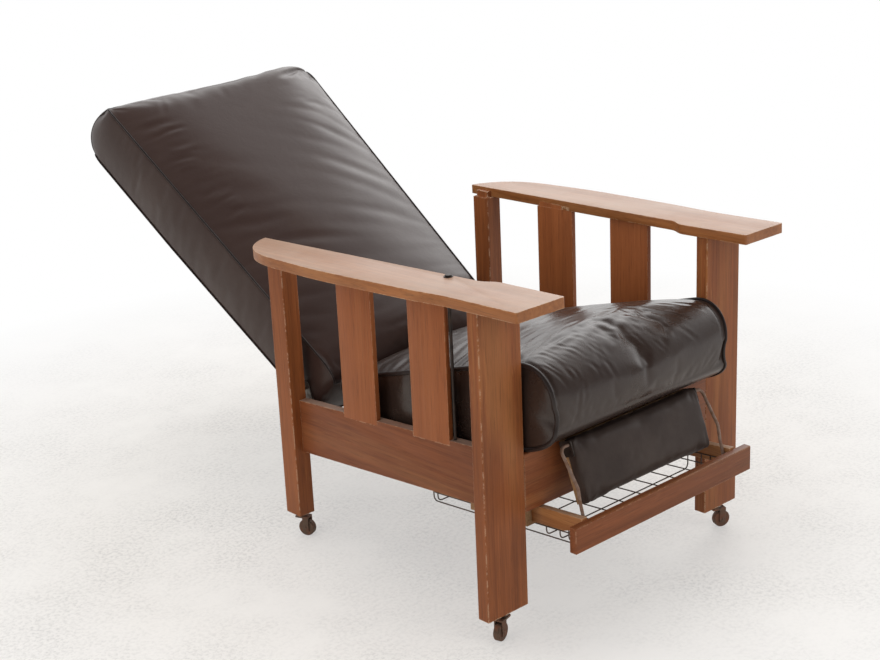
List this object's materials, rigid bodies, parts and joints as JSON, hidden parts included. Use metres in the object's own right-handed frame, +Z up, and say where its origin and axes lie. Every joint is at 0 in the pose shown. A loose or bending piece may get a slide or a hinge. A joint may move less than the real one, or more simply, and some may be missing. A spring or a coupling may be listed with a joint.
{
  "type": "reclining armchair",
  "caption": "Mission style oak reclining armchair on casters, with a leather seat, a tilting leather back, a push-button lock in the arm and a pull-out footrest over a wire basket.",
  "frame": {"origin": "on the floor, midway between the sides, under the middle of the chair's overall length", "axes": "+Z up, the chair faces -Y, +X is the sitter's left (right as seen from in front)"},
  "size_m": [0.7826, 1.4497, 0.8532],
  "materials": {
    "oak": "satin, worn red-brown oak",
    "hidden_wood": "raw",
    "leather": "satin",
    "filling": "matte",
    "backing": "matte",
    "webbing": "matte",
    "steel": "dull",
    "wire": "dull, brown",
    "button": "dark",
    "caster_iron": "dull, brown"
  },
  "bodies": {
    "frame": {"arm_left": "oak", "arm_right": "oak", "front_leg_left": "oak", "front_leg_right": "oak", "rear_leg_left": "oak", "rear_leg_right": "oak", "side_rail_left": "oak", "side_rail_right": "oak", "front_rail": "oak", "rear_rail": "oak", "side_slats": "oak", "seat_bearers": "hidden_wood", "seat_slats": "hidden_wood", "drawer_guides": "hidden_wood", "pivot_plates": "steel", "seat_cover": "leather", "seat_filling": "filling", "rod_guide": "steel", "lock_housing": "steel", "grip_pin": "steel", "grip_spring": "steel", "button_cup": "steel", "button_spring": "steel", "caster_sockets": "steel"},
    "back": {"back_stiles": "hidden_wood", "back_bottom_rail": "hidden_wood", "back_middle_rail": "hidden_wood", "back_top_rail": "hidden_wood", "back_webbing": "webbing", "back_filling": "filling", "back_cover": "leather", "back_panel": "backing", "pivot_pins": "steel", "pivot_spacers": "steel", "recline_lever": "steel", "lever_pin": "steel"},
    "lock_rod": {"lock_rod": "steel"},
    "grip_plate": {"grip_plate": "steel"},
    "push_button": {"push_button": "button", "push_rod": "steel"},
    "drawer": {"drawer_front": "oak", "drawer_side_left": "oak", "drawer_side_right": "oak", "drawer_tie": "oak", "basket_floor": "wire", "basket_sides": "wire", "basket_ends": "wire"},
    "footrest_stays": {"footrest_stays": "wire"},
    "footrest_pad": {"footrest_board": "hidden_wood", "footrest_cushion": "leather", "footrest_plates": "steel"},
    "caster_fork_front_left": {"caster_fork_front_left": "caster_iron"},
    "caster_wheel_front_left": {"caster_wheel_front_left": "caster_iron"},
    "caster_fork_front_right": {"caster_fork_front_right": "caster_iron"},
    "caster_wheel_front_right": {"caster_wheel_front_right": "caster_iron"},
    "caster_fork_rear_left": {"caster_fork_rear_left": "caster_iron"},
    "caster_wheel_rear_left": {"caster_wheel_rear_left": "caster_iron"},
    "caster_fork_rear_right": {"caster_fork_rear_right": "caster_iron"},
    "caster_wheel_rear_right": {"caster_wheel_rear_right": "caster_iron"}
  },
  "joints": [
    {"name": "back_recline", "type": "hinge", "parent": "frame", "child": "back", "pos_m": [0, 0.038, 0.325], "axis": [1, 0, 0], "range_deg": [0, 40]},
    {"name": "lock_rod_slide", "type": "slide", "parent": "frame", "child": "lock_rod", "axis": [0, 1, 0], "range_m": [-0.001, 0.046]},
    {"name": "button_press", "type": "slide", "parent": "frame", "child": "push_button", "axis": [0, 0, -1], "range_m": [0, 0.004], "stiffness_N_per_m": 400, "springref_m": -0.004, "deforming": ["button_spring", "grip_spring"]},
    {"name": "grip_tilt", "type": "hinge", "parent": "frame", "child": "grip_plate", "pos_m": [-0.258, -0.408, 0.24596], "axis": [1, 0, 0], "range_deg": [-0.3, 6.6]},
    {"name": "drawer_slide", "type": "slide", "parent": "frame", "child": "drawer", "axis": [0, -0.9974, 0.0718], "range_m": [0, 0.18]},
    {"name": "stay_swing", "type": "hinge", "parent": "drawer", "child": "footrest_stays", "pos_m": [0, -0.699, 0.222], "axis": [1, 0, 0], "range_deg": [0, 30]},
    {"name": "pad_swing", "type": "hinge", "parent": "footrest_stays", "child": "footrest_pad", "pos_m": [0, -0.641, 0.352], "axis": [-1, 0, 0], "range_deg": [0, 55]},
    {"name": "caster_swivel_front_left", "type": "hinge", "parent": "frame", "child": "caster_fork_front_left", "pos_m": [-0.3133, -0.5951, 0.045], "axis": [0, 0, 1], "continuous": true},
    {"name": "caster_spin_front_left", "type": "hinge", "parent": "caster_fork_front_left", "child": "caster_wheel_front_left", "pos_m": [-0.32676, -0.59896, 0.018], "axis": [0.2756, -0.9613, 0], "continuous": true},
    {"name": "caster_swivel_front_right", "type": "hinge", "parent": "frame", "child": "caster_fork_front_right", "pos_m": [0.3133, -0.5951, 0.045], "axis": [0, 0, 1], "continuous": true},
    {"name": "caster_spin_front_right", "type": "hinge", "parent": "caster_fork_front_right", "child": "caster_wheel_front_right", "pos_m": [0.32628, -0.60034, 0.018], "axis": [0.3746, 0.9272, 0], "continuous": true},
    {"name": "caster_swivel_rear_left", "type": "hinge", "parent": "frame", "child": "caster_fork_rear_left", "pos_m": [-0.2912, 0.034, 0.045], "axis": [0, 0, 1], "continuous": true},
    {"name": "caster_spin_rear_left", "type": "hinge", "parent": "caster_fork_rear_left", "child": "caster_wheel_rear_left", "pos_m": [-0.28573, 0.02111, 0.018], "axis": [0.9205, 0.3907, 0], "continuous": true},
    {"name": "caster_swivel_rear_right", "type": "hinge", "parent": "frame", "child": "caster_fork_rear_right", "pos_m": [0.2912, 0.034, 0.045], "axis": [0, 0, 1], "continuous": true},
    {"name": "caster_spin_rear_right", "type": "hinge", "parent": "caster_fork_rear_right", "child": "caster_wheel_rear_right", "pos_m": [0.28877, 0.02021, 0.018], "axis": [0.9848, -0.1736, 0], "continuous": true}
  ],
  "couplings": [
    {"joint": "lock_rod_slide", "follows": "back_recline", "m_per_rad": 0.063688},
    {"joint": "grip_tilt", "follows": "button_press", "rad_per_m": 27.6}
  ]
}
